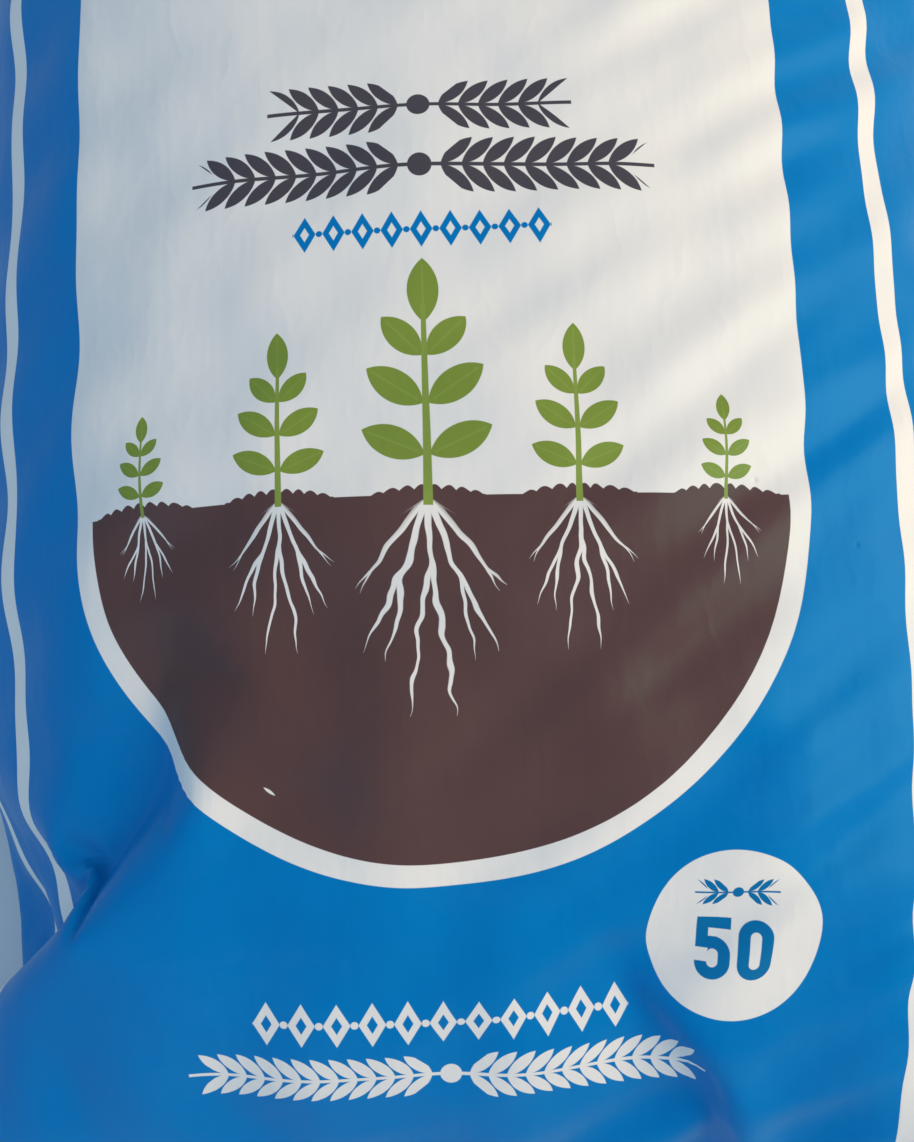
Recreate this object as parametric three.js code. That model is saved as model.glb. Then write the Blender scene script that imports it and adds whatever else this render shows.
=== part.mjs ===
// A filled compost bag of printed polythene film, lying on its back with the print up.
// The bag is modelled the way it is made: a flat tube of film, sealed across both ends, is
// filled, and the film is relaxed around the fill until it lies in balance on the floor.
//
// Millimetres, +Z up. X runs across the bag and Y from its foot to its head. The origin is at
// the middle of the bag's box, on the floor.

import * as THREE from "three";

// The film tube, laid flat
const filmWidth = 560;
const filmLength = 900;
const skirtLength = 11; // loose film beyond each seal
const sealWidth = 12; // heat seal across each end
const finThickness = 1.2; // the two films where they are pressed together

// The print, on the flat film
const leftMargin = 48; // blue film between the left edge and its front stripe
const rightMargin = 100; // and between the right edge and its stripe: the print sits off centre
const stripeWidth = 10; // white stripes, front and round the side edges
const blueMargin = 41; // between a front stripe and the white panel
const borderWidth = 9; // white edge of the panel, round the brown field
const panelFoot = 197; // lowest point of the panel, up from the foot's cut edge
const headMargin = 85; // from the panel's square upper end to the head's cut edge
const discRadius = 37;
const discFromRight = 184; // from the right edge to the disc's centre
const discFromFoot = 175;
const blue = new THREE.Color(0x0074b8);
const white = new THREE.Color(0xe0dcd4);
const brown = new THREE.Color(0x4c3c40);

// The fill
const fillDepth = 91; // of the settled mix, if it lay level over the flat film: 46 litres in all
const headOfFill = 0.9; // how much harder the fill presses at the floor than at the top
const leanToFoot = 0.5; // how much of the fill has slid to the foot of the bag

// The grid of the film and the relaxing
const cellSize = 14.5;
const startLift = 8; // each face's lift off the other before the bag is filled
const relaxSteps = 420;
const passesPerStep = 12;
const momentum = 0.93;
const weightPerStep = 0.002;
const firstPress = 0.02;
const hardestPress = 0.027;
const pressGain = 0.0013;
const bendStiffness = 0.08;
const shearStiffness = 0.5;
const outlineSnap = 1.5; // a point of the grid as near to an outline as this counts as on it

// Folds of the film. Each runs along a path on the flat film. A point of the path has a share of the
// film's width, in from one side edge, a share of its length, up from the foot's cut edge, and the
// fold's strength there. A point below 0 in from the edge lies round it, on the back film. The half
// width is a share of the film's width. A push above 0 makes a ridge and one below 0 a valley, in
// shares of a grid cell for each step.
const crease = [
  [0, 0.145, 1],
  [0.04, 0.165, 1],
  [0.115, 0.197, 1],
  [0.175, 0.225, 1],
  [0.222, 0.256, 1],
  [0.236, 0.275, 0.7],
  [0.235, 0.3, 0.35],
  [0.25, 0.33, 0.2],
  [0.275, 0.355, 0],
];
const bulge = [[0.05, 0.125, 0.6], [0.12, 0.158, 1], [0.19, 0.195, 1], [0.25, 0.235, 0.8], [0.3, 0.27, 0]];
const hollow = [[0.02, 0.2, 1], [0.08, 0.22, 1], [0.13, 0.245, 0.5]];
const footBend = [[0.35, 0.14, 0.2], [0.33, 0.11, 1], [0.3, 0.075, 1], [0.27, 0.04, 1]];
const footSwell = [[0.4, 0.12, 0.4], [0.375, 0.09, 1], [0.35, 0.045, 1]];
const folds = [
  { edge: "left", path: crease, halfWidth: 0.014, push: -0.055 },
  { edge: "left", path: bulge, halfWidth: 0.022, push: 0.02 },
  { edge: "left", path: hollow, halfWidth: 0.04, push: -0.0045 },
  { edge: "left", path: [[-0.045, 0.2, 1], [0.022, 0.2, 1]], halfWidth: 0.03, push: -0.016 },
  { edge: "right", path: footBend, halfWidth: 0.021, push: -0.014 },
  { edge: "right", path: footSwell, halfWidth: 0.021, push: 0.01 },
  { edge: "right", path: [[0.2, 0.12, 1], [0.17, 0.05, 1]], halfWidth: 0.025, push: 0.006 },
];

// Slanting waves that run down the right side of the front film.
const waveSpacing = 92; // along the bag, from one ridge to the next
const waveInset = 110; // where they are deepest, in from the right edge
const waveReach = 62; // how far they spread to each side of that
const waveFoot = 165; // they start here, up from the foot
const waveHead = 740; // and end here
const waveSlant = 1.15; // how far they climb for each step towards the edge
const wavePush = 0.011;

const panelWidth = filmWidth - leftMargin - rightMargin - 2 * (stripeWidth + blueMargin);
const panelLeft = leftMargin + stripeWidth + blueMargin;
const fieldHead = panelFoot + panelWidth / 2; // the brown field is half a disc

// A stretch of film cut into equal cells of about the usual size.
function cells(length) {
  const count = Math.max(1, Math.round(length / cellSize));
  return new Array(count).fill(length / count);
}

// Widths of the grid's columns across the front film. They keep to the straight lines of the print.
function columnWidths() {
  return [
    stripeWidth / 2,
    leftMargin - stripeWidth / 2,
    stripeWidth,
    blueMargin,
    borderWidth,
    panelWidth - 2 * borderWidth,
    borderWidth,
    blueMargin,
    stripeWidth,
    rightMargin - stripeWidth / 2,
    stripeWidth / 2,
  ].flatMap(cells);
}

// Lengths of the grid's rows, from the cut edge at the foot to the one at the head.
function rowLengths() {
  const fin = skirtLength + sealWidth;
  const panelHead = filmLength - headMargin;
  const body = [fieldHead - fin, panelHead - fieldHead, headMargin - fin].flatMap(cells);
  return [skirtLength, sealWidth, ...body, sealWidth, skirtLength];
}

// Running total of a list of lengths, from 0.
function marks(lengths) {
  const totals = [0];
  for (const length of lengths) totals.push(totals.at(-1) + length);
  return totals;
}

// How far a point lies outside a shape with straight sides and a half-round foot, which keeps
// within the panel by an inset.
function offTub(fromLeft, fromFoot, inset) {
  const fromMiddle = fromLeft - panelLeft - panelWidth / 2;
  const belowBend = Math.max(fieldHead - fromFoot, 0);
  return Math.hypot(fromMiddle, belowBend) - (panelWidth / 2 - inset);
}

function offDisc(fromLeft, fromFoot) {
  return Math.hypot(filmWidth - fromLeft - discFromRight, fromFoot - discFromFoot) - discRadius;
}

// The round outlines of the print, which the film's faces are cut along.
const outlines = [
  (fromLeft, fromFoot) => offTub(fromLeft, fromFoot, 0),
  (fromLeft, fromFoot) => offTub(fromLeft, fromFoot, borderWidth),
  offDisc,
];

// Whether a point lies on one of the white stripes.
function inStripe(fromLeft, front) {
  const fromSide = Math.min(fromLeft, filmWidth - fromLeft);
  if (fromSide < stripeWidth / 2) return true;
  const offLeft = fromLeft - leftMargin;
  const offRight = filmWidth - fromLeft - rightMargin;
  return front && [offLeft, offRight].some((off) => off > 0 && off < stripeWidth);
}

// Colour of the printed film at a point of the flat tube.
function printColour(fromLeft, fromFoot, front) {
  if (inStripe(fromLeft, front)) return white;
  if (!front) return blue;
  if (offDisc(fromLeft, fromFoot) < 0) return white;
  if (fromFoot < fieldHead && offTub(fromLeft, fromFoot, borderWidth) < 0) return brown;
  const inPanel = fromFoot < filmLength - headMargin && offTub(fromLeft, fromFoot, 0) < 0;
  return inPanel ? white : blue;
}

// How strongly a fold acts at a point of the flat film, from one leg of its path. A place on the leg
// has its distance across, its distance along and the fold's strength there.
function strengthOfLeg(point, from, to, halfWidth) {
  const du = to[0] - from[0];
  const dv = to[1] - from[1];
  const along = ((point[0] - from[0]) * du + (point[1] - from[1]) * dv) / (du * du + dv * dv);
  const share = THREE.MathUtils.clamp(along, 0, 1);
  const gap = Math.hypot(point[0] - from[0] - share * du, point[1] - from[1] - share * dv);
  return THREE.MathUtils.lerp(from[2], to[2], share) * Math.exp(-((gap / halfWidth) ** 2));
}

// How hard the folds and waves push the film out at a point, in shares of a cell.
function foldPush(fromLeft, fromFoot, front) {
  const side = front ? 1 : -1;
  const fromRight = filmWidth - fromLeft;
  let total = 0;
  for (const { edge, path, halfWidth, push } of folds) {
    const point = [side * (edge === "left" ? fromLeft : fromRight), fromFoot];
    const stops = path.map(([across, along, strength]) => {
      return [across * filmWidth, along * filmLength, strength];
    });
    const strengths = stops.slice(1).map((to, leg) => {
      return strengthOfLeg(point, stops[leg], to, halfWidth * filmWidth);
    });
    total += push * Math.max(...strengths);
  }
  const inset = (side * fromRight - waveInset) / waveReach;
  const along = THREE.MathUtils.clamp((fromFoot - waveFoot) / (waveHead - waveFoot), 0, 1);
  const phase = (2 * Math.PI * (fromFoot + waveSlant * fromRight)) / waveSpacing;
  const fade = Math.exp(-inset * inset) * Math.sin(Math.PI * along);
  return total + wavePush * fade * Math.sin(phase);
}

// A flat shape as triangles that share its first corner.
function fan(corners) {
  return corners.slice(2).map((last, at) => [corners[0], corners[at + 1], last]);
}

// Cuts faces along an outline of the print, so that none lies on both sides of it. The points of
// the cuts go on the end of the list of points and of their places on the flat film.
function cutAlong(outline, faces, points, places) {
  const offsets = places.map(([fromLeft, fromFoot]) => {
    const off = outline(fromLeft, fromFoot);
    return Math.abs(off) < outlineSnap ? 0 : off;
  });
  const cuts = new Map();
  const cut = (one, other) => {
    const [from, to] = [Math.min(one, other), Math.max(one, other)];
    const name = `${from} ${to}`;
    if (cuts.has(name)) return cuts.get(name);
    const share = offsets[from] / (offsets[from] - offsets[to]);
    for (const list of [points, places]) {
      list.push(list[from].map((value, axis) => THREE.MathUtils.lerp(value, list[to][axis], share)));
    }
    offsets.push(0);
    cuts.set(name, points.length - 1);
    return points.length - 1;
  };
  return faces.flatMap((face) => {
    const signs = face.map((corner) => Math.sign(offsets[corner]));
    if (!signs.includes(-1) || !signs.includes(1)) return [face];
    const inside = [];
    const outside = [];
    face.forEach((corner, at) => {
      const next = face[(at + 1) % face.length];
      if (offsets[corner] <= 0) inside.push(corner);
      if (offsets[corner] >= 0) outside.push(corner);
      if (offsets[corner] * offsets[next] < 0) {
        inside.push(cut(corner, next));
        outside.push(cut(corner, next));
      }
    });
    return [...fan(inside), ...fan(outside)];
  });
}

// The tube of film as a grid: columns run round the tube, rows run along it. Column 0 is the left
// edge of the flat tube, the front face comes next, and the back face returns to the left edge.
class FilmTube {
  constructor() {
    const front = columnWidths();
    this.columnWidths = [...front, ...front.toReversed()];
    this.rowLengths = rowLengths();
    this.side = front.length;
    this.columns = 2 * this.side;
    this.rows = this.rowLengths.length + 1;
    this.fromLeft = marks(front);
    this.fromFoot = marks(this.rowLengths);
    this.finRows = 3; // rows of points in the skirt and the seal, at each end
    this.layFlat();
    this.tieFilm();
    this.press = firstPress;
  }

  index(column, row) {
    return 3 * (row * this.columns + ((column + this.columns) % this.columns));
  }

  // The empty tube on the floor, its two faces a little apart, and the push of its folds.
  layFlat() {
    this.points = new Float64Array(3 * this.columns * this.rows);
    this.foldPush = new Float64Array(this.columns * this.rows);
    for (let row = 0; row < this.rows; row++) {
      for (let column = 0; column < this.columns; column++) {
        const front = column <= this.side;
        const fromLeft = this.fromLeft[front ? column : this.columns - column];
        const fromFoot = this.fromFoot[row];
        const across = Math.sin((Math.PI * fromLeft) / filmWidth);
        const along = Math.sin((Math.PI * fromFoot) / filmLength);
        const lift = (front ? startLift : -startLift) * across * along;
        const at = this.index(column, row);
        this.points.set([fromLeft - filmWidth / 2, fromFoot, startLift + lift], at);
        this.foldPush[at / 3] = foldPush(fromLeft, fromFoot, front);
      }
    }
    this.previous = Float64Array.from(this.points);
  }

  // Ties that hold the film to its own length along, across and diagonally, and resist bends.
  // They are listed in runs that share no point, so that each run can be drawn in at once.
  tieFilm() {
    const ties = [];
    const tie = (column, row, onColumns, onRows, length, stiffness) => {
      const start = this.index(column, row);
      ties.push([start, this.index(column + onColumns, row + onRows), length, stiffness]);
    };
    const widths = this.columnWidths;
    const lengths = this.rowLengths;
    for (let start = 0; start < 2; start++) {
      for (let row = 0; row < this.rows; row++) {
        for (let column = start; column < this.columns; column += 2) {
          tie(column, row, 1, 0, widths[column], 1);
        }
      }
    }
    for (let start = 0; start < 2; start++) {
      for (let row = start; row < this.rows - 1; row += 2) {
        for (let column = 0; column < this.columns; column++) {
          tie(column, row, 0, 1, lengths[row], 1);
        }
      }
    }
    for (const turn of [0, 1]) {
      for (let start = 0; start < 2; start++) {
        for (let row = start; row < this.rows - 1; row += 2) {
          for (let column = 0; column < this.columns; column++) {
            const slant = Math.sqrt(widths[column] ** 2 + lengths[row] ** 2);
            tie(column, row + turn, 1, turn ? -1 : 1, slant, shearStiffness);
          }
        }
      }
    }
    for (let start = 0; start < 4; start++) {
      for (let row = 0; row < this.rows; row++) {
        for (let column = start; column < this.columns; column += 4) {
          const two = widths[column] + widths[(column + 1) % this.columns];
          tie(column, row, 2, 0, two, bendStiffness);
        }
      }
    }
    for (let start = 0; start < 4; start++) {
      for (let row = start; row < this.rows - 2; row += 4) {
        for (let column = 0; column < this.columns; column++) {
          tie(column, row, 0, 2, lengths[row] + lengths[row + 1], bendStiffness);
        }
      }
    }
    this.tieStart = Int32Array.from(ties, (each) => each[0]);
    this.tieEnd = Int32Array.from(ties, (each) => each[1]);
    this.tieLength = Float64Array.from(ties, (each) => each[2]);
    this.tieStiffness = Float64Array.from(ties, (each) => each[3]);
  }

  // The way out of the film at each grid point, and the volume inside.
  measure() {
    const p = this.points;
    const outward = new Float64Array(p.length);
    let volume = 0;
    for (let row = this.finRows - 1; row <= this.rows - this.finRows; row++) {
      for (let column = 0; column < this.columns; column++) {
        const at = this.index(column, row);
        const left = this.index(column - 1, row);
        const right = this.index(column + 1, row);
        const down = this.index(column, row - 1);
        const up = this.index(column, row + 1);
        const ux = p[right] - p[left];
        const uy = p[right + 1] - p[left + 1];
        const uz = p[right + 2] - p[left + 2];
        const vx = p[up] - p[down];
        const vy = p[up + 1] - p[down + 1];
        const vz = p[up + 2] - p[down + 2];
        const ax = uy * vz - uz * vy;
        const ay = uz * vx - ux * vz;
        const az = ux * vy - uy * vx;
        volume += (p[at] * ax + p[at + 1] * ay + p[at + 2] * az) / 12;
        const area = Math.sqrt(ax * ax + ay * ay + az * az) + 1e-9;
        outward[at] = ax / area;
        outward[at + 1] = ay / area;
        outward[at + 2] = az / area;
      }
    }
    return { outward, volume };
  }

  // Moves every point by its momentum and by the push of the fill behind it.
  push() {
    const p = this.points;
    const { outward, volume } = this.measure();
    const missing = 1 - volume / (filmWidth * filmLength * fillDepth);
    this.press = THREE.MathUtils.clamp(this.press + pressGain * missing, 0, hardestPress);
    let top = 1;
    for (let at = 0; at < p.length; at += 3) top = Math.max(top, p[at + 2]);
    for (let at = 0; at < p.length; at += 3) {
      const depth = (top - p[at + 2]) / top;
      const foot = 0.5 - p[at + 1] / filmLength;
      const fill = this.press * (1 + headOfFill * depth + leanToFoot * foot);
      const reach = cellSize * (fill + this.foldPush[at / 3]);
      for (let axis = at; axis < at + 3; axis++) {
        const now = p[axis];
        p[axis] = now + momentum * (now - this.previous[axis]) + reach * outward[axis];
        this.previous[axis] = now;
      }
      p[at + 2] -= weightPerStep * cellSize;
    }
  }

  // Draws each tied pair of points towards the length of its tie.
  holdFilm() {
    const p = this.points;
    const { tieStart, tieEnd, tieLength, tieStiffness } = this;
    for (let tie = 0; tie < tieStart.length; tie++) {
      const a = tieStart[tie];
      const b = tieEnd[tie];
      const dx = p[b] - p[a];
      const dy = p[b + 1] - p[a + 1];
      const dz = p[b + 2] - p[a + 2];
      const distance = Math.sqrt(dx * dx + dy * dy + dz * dz) + 1e-9;
      const share = (0.5 * tieStiffness[tie] * (distance - tieLength[tie])) / distance;
      p[a] += share * dx;
      p[a + 1] += share * dy;
      p[a + 2] += share * dz;
      p[b] -= share * dx;
      p[b + 1] -= share * dy;
      p[b + 2] -= share * dz;
    }
  }

  // Presses the two films together at the ends, keeps them apart elsewhere, and holds them up.
  holdFaces() {
    const p = this.points;
    for (let row = 0; row < this.rows; row++) {
      const fin = row < this.finRows || row >= this.rows - this.finRows;
      for (let column = 0; column <= this.side; column++) {
        const front = this.index(column, row);
        const back = this.index(this.columns - column, row);
        if (front === back) {
          p[front + 2] = Math.max(p[front + 2], finThickness / 2);
          continue;
        }
        if (fin) {
          for (let axis = 0; axis < 3; axis++) {
            const middle = (p[front + axis] + p[back + axis]) / 2;
            const apart = axis === 2 ? finThickness / 2 : 0;
            p[front + axis] = middle + apart;
            p[back + axis] = middle - apart;
          }
        }
        const overlap = finThickness - (p[front + 2] - p[back + 2]);
        if (overlap > 0) {
          p[front + 2] += overlap / 2;
          p[back + 2] -= overlap / 2;
        }
        p[back + 2] = Math.max(p[back + 2], 0);
        p[front + 2] = Math.max(p[front + 2], finThickness);
      }
    }
  }

  relax() {
    for (let step = 0; step < relaxSteps; step++) {
      this.push();
      for (let pass = 0; pass < passesPerStep; pass++) {
        this.holdFilm();
        this.holdFaces();
      }
    }
  }

  // The film as one closed surface, the tube and a strip along each cut edge, in its colours.
  geometry() {
    const corner = (column, row) => this.index(column, row) / 3;
    const points = [];
    const places = [];
    const front = [];
    const back = [];
    for (let row = 0; row < this.rows; row++) {
      for (let column = 0; column < this.columns; column++) {
        const at = this.index(column, row);
        points.push(Array.from(this.points.subarray(at, at + 3)));
        places.push([this.fromLeft[Math.min(column, this.columns - column)], this.fromFoot[row]]);
        if (row === this.rows - 1) continue;
        const diagonal = [corner(column, row), corner(column + 1, row + 1)];
        const film = column < this.side ? front : back;
        film.push([diagonal[0], corner(column + 1, row), diagonal[1]]);
        film.push([...diagonal, corner(column, row + 1)]);
      }
    }
    for (const [row, turned] of [[0, true], [this.rows - 1, false]]) {
      for (let column = 0; column < this.side; column++) {
        const a = corner(column, row);
        const b = corner(column + 1, row);
        const c = corner(this.columns - column - 1, row);
        const d = corner(this.columns - column, row);
        const strip = [];
        if (b !== c) strip.push([a, b, c]);
        if (a !== d) strip.push([a, c, d]);
        back.push(...(turned ? strip.map((face) => face.toReversed()) : strip));
      }
    }
    const cutFront = outlines.reduce((faces, line) => cutAlong(line, faces, points, places), front);
    const film = new THREE.BufferGeometry();
    film.setAttribute("position", new THREE.Float32BufferAttribute(points.flat(), 3));
    film.setIndex([...cutFront, ...back].flat());
    film.computeVertexNormals();
    const printed = film.toNonIndexed();
    const colours = [[cutFront, true], [back, false]].flatMap(([faces, isFront]) => {
      return faces.flatMap((face) => {
        const middle = (axis) => face.reduce((sum, at) => sum + places[at][axis] / face.length, 0);
        const colour = printColour(middle(0), middle(1), isFront).toArray();
        return face.flatMap(() => colour);
      });
    });
    printed.setAttribute("color", new THREE.Float32BufferAttribute(colours, 3));
    return printed;
  }

  // The turn about the vertical that brings the bag's middle line onto Y.
  turn() {
    const lastRow = this.rows - 1;
    const edges = [0, this.side];
    const ends = edges.map((column) => [this.index(column, 0), this.index(column, lastRow)]);
    const run = (axis) => {
      return ends.reduce((sum, [foot, head]) => sum + this.points[head + axis] - this.points[foot + axis], 0);
    };
    return Math.atan2(run(0), run(1));
  }
}

function makeBag() {
  const tube = new FilmTube();
  tube.relax();
  const geometry = tube.geometry();
  geometry.rotateZ(tube.turn());
  geometry.computeBoundingBox();
  const { min, max } = geometry.boundingBox;
  geometry.translate(-(min.x + max.x) / 2, -(min.y + max.y) / 2, -min.z);
  const film = new THREE.MeshStandardMaterial({ vertexColors: true, roughness: 0.35, metalness: 0 });
  const bag = new THREE.Mesh(geometry, film);
  bag.name = "bag";
  return bag;
}

const compostBag = new THREE.Group();
compostBag.add(makeBag());
export default compostBag;
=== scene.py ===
import logging
import math
from dataclasses import dataclass
from enum import Enum
from functools import reduce

import bpy
import numpy as np
from mathutils import Matrix


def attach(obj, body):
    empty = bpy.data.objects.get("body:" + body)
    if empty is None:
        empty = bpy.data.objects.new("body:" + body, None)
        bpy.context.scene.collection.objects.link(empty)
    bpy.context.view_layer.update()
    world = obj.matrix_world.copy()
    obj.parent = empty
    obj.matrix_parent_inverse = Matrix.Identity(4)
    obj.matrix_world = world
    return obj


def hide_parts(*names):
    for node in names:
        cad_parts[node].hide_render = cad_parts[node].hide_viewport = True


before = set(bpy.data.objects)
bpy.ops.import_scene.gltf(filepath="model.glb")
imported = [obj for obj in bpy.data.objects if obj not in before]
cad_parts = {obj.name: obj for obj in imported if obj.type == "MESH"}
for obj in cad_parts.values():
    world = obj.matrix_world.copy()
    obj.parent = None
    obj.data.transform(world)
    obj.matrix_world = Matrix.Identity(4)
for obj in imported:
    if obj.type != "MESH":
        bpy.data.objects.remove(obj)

LOG = logging.getLogger("compost_bag")
MM = 0.001
EVERY = slice(None)
Colour = tuple[float, float, float, float]


def srgb(*channels: int) -> Colour:
    """Turn red, green and blue of 0 to 255, as a screen shows them, into a shader's linear colour."""
    linear = [((value / 255 + 0.055) / 1.055) ** 2.4 for value in channels]
    return (*linear, 1.0)


# Sizes of the bag, in metres


@dataclass(frozen=True)
class FilmCut:
    """The flat film tube as it is cut and sealed."""

    width: float = 0.560
    length: float = 0.900
    skirt: float = 0.011
    seal: float = 0.012
    fin: float = 0.0012


@dataclass(frozen=True)
class PrintLayout:
    """Where the fields of the print lie on the flat film."""

    left_margin: float = 0.048
    right_margin: float = 0.100
    stripe: float = 0.010
    blue_margin: float = 0.041
    border: float = 0.009
    panel_foot: float = 0.197
    head_margin: float = 0.085
    disc_radius: float = 0.0355
    disc_from_right: float = 0.184
    disc_from_foot: float = 0.175

    def panel_width(self, cut: FilmCut) -> float:
        """Width of the white panel on a film of this cut."""
        return cut.width - self.left_margin - self.right_margin - 2 * (self.stripe + self.blue_margin)

    def panel_middle(self, cut: FilmCut) -> float:
        """Distance from the film's left edge to the panel's middle line."""
        return self.left_margin + self.stripe + self.blue_margin + self.panel_width(cut) / 2

    def field_head(self, cut: FilmCut) -> float:
        """Height of the brown field's upper edge above the film's foot."""
        return self.panel_foot + self.panel_width(cut) / 2


@dataclass(frozen=True)
class Fill:
    """The mix in the bag and how it presses on the film.

    The depth is the mix's volume over the film's flat area. A press is a share of a grid cell.
    """

    depth: float = 0.091
    head: float = 0.9
    lean_to_foot: float = 0.5
    start_lift: float = 0.008
    momentum: float = 0.93
    weight: float = 0.002
    first_press: float = 0.02
    hardest_press: float = 0.027
    press_gain: float = 0.0013


class Edge(Enum):
    """The side edge of the film that a fold is measured from."""

    LEFT = "left"
    RIGHT = "right"


@dataclass(frozen=True)
class Fold:
    """A fold along a path of points on the film.

    Each point of the path has a share of the film's width, in from the edge, a share of its length,
    up from the foot, and the fold's strength there. A point below 0 in from the edge lies round it,
    on the back film. A push above 0 makes a ridge and one below 0 a valley.
    """

    edge: Edge
    path: tuple[tuple[float, float, float], ...]
    half_width: float
    push: float


@dataclass(frozen=True)
class Waves:
    """Slanting waves that run down the right side of the front film."""

    spacing: float = 0.092
    inset: float = 0.110
    reach: float = 0.062
    foot: float = 0.165
    head: float = 0.740
    slant: float = 1.15
    push: float = 0.005


@dataclass(frozen=True)
class Ripples:
    """Irregular ripples of the film, as a sum of straight waves near one heading.

    The heading is the way that the crests run, in degrees from straight across. Where reach is
    above 0, the ripples fade out from a line at the inset from the right edge.
    """

    seed: int
    shortest: float
    longest: float
    heading: float
    spread: float
    push: float
    inset: float = 0.0
    reach: float = 0.0
    count: int = 28

    def field(self, from_left: np.ndarray, from_foot: np.ndarray, from_right: np.ndarray) -> np.ndarray:
        """Work out the push of the ripples at each point.

        Args:
            from_left: Distance of each point from the left edge.
            from_foot: Distance of each point from the foot.
            from_right: Distance of each point from the right edge.

        Returns:
            The pushes, in shares of a cell.
        """
        random = np.random.default_rng(self.seed)
        total = np.zeros(from_left.shape)
        for _ in range(self.count):
            across = math.radians(self.heading + 90 + self.spread * random.uniform(-1, 1))
            number = 2 * math.pi / random.uniform(self.shortest, self.longest)
            start = random.uniform(0, 2 * math.pi)
            total += np.sin(number * (from_left * math.cos(across) + from_foot * math.sin(across)) + start)
        fade = np.exp(-(((from_right - self.inset) / self.reach) ** 2)) if self.reach else 1.0
        return self.push * fade * total / math.sqrt(self.count / 2)


CREASE = (
    (0.0, 0.145, 1.0),
    (0.04, 0.165, 1.0),
    (0.115, 0.197, 1.0),
    (0.175, 0.225, 1.0),
    (0.222, 0.256, 1.0),
    (0.236, 0.275, 0.7),
    (0.235, 0.3, 0.35),
    (0.25, 0.33, 0.2),
    (0.275, 0.355, 0.0),
)
BULGE = ((0.05, 0.125, 0.6), (0.12, 0.158, 1.0), (0.19, 0.195, 1.0), (0.25, 0.235, 0.8), (0.3, 0.27, 0.0))
FOOT_BEND = (
    (0.44, 0.2, 0.0),
    (0.42, 0.185, 0.6),
    (0.388, 0.153, 1.0),
    (0.352, 0.127, 1.0),
    (0.336, 0.088, 1.0),
    (0.325, 0.04, 1.0),
)
FOOT_RIDGE = (
    (0.4, 0.18, 0.0),
    (0.375, 0.155, 0.6),
    (0.345, 0.138, 1.0),
    (0.318, 0.115, 1.0),
    (0.303, 0.08, 1.0),
    (0.295, 0.04, 1.0),
)
SHOULDER = ((0.16, 0.6, 0.0), (0.16, 0.45, 1.0), (0.15, 0.2, 1.0), (0.13, 0.06, 1.5))
FOLDS = (
    Fold(Edge.LEFT, CREASE, 0.008, -0.075),
    Fold(Edge.LEFT, BULGE, 0.022, 0.020),
    Fold(Edge.LEFT, ((0.02, 0.2, 1.0), (0.08, 0.22, 1.0), (0.13, 0.245, 0.5)), 0.04, -0.0045),
    Fold(Edge.LEFT, ((-0.045, 0.2, 1.0), (0.022, 0.2, 1.0)), 0.03, -0.016),
    Fold(Edge.RIGHT, FOOT_BEND, 0.011, -0.048),
    Fold(Edge.RIGHT, FOOT_RIDGE, 0.011, 0.058),
    Fold(Edge.RIGHT, SHOULDER, 0.050, 0.0042),
)
RIPPLES = (
    Ripples(7, 0.023, 0.044, 36.0, 12.0, 0.028, inset=0.140, reach=0.110),
    Ripples(21, 0.040, 0.090, 0.0, 90.0, 0.005),
)


@dataclass(frozen=True)
class FilmPlan:
    """How the film is cut, printed, folded and rippled."""

    cut: FilmCut = FilmCut()
    layout: PrintLayout = PrintLayout()
    folds: tuple[Fold, ...] = FOLDS
    waves: Waves = Waves()
    ripples: tuple[Ripples, ...] = RIPPLES


# The film, relaxed round its fill


def cells(length: float, size: float) -> list[float]:
    """Cut a length into equal cells of about the given size."""
    count = max(1, math.floor(length / size + 0.5))
    return [length / count] * count


def near_leg(
    across: np.ndarray, along: np.ndarray, start: tuple[float, float], end: tuple[float, float]
) -> tuple[np.ndarray, np.ndarray]:
    """Find how near points of the flat film lie to a straight leg of a path.

    Args:
        across: First coordinate of each point.
        along: Second coordinate of each point.
        start: Start of the leg.
        end: End of the leg.

    Returns:
        The distance of each point, and the share of the leg at which it is nearest.
    """
    run = (end[0] - start[0], end[1] - start[1])
    share = ((across - start[0]) * run[0] + (along - start[1]) * run[1]) / (run[0] ** 2 + run[1] ** 2)
    share = np.clip(share, 0, 1)
    return np.hypot(across - start[0] - share * run[0], along - start[1] - share * run[1]), share


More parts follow.
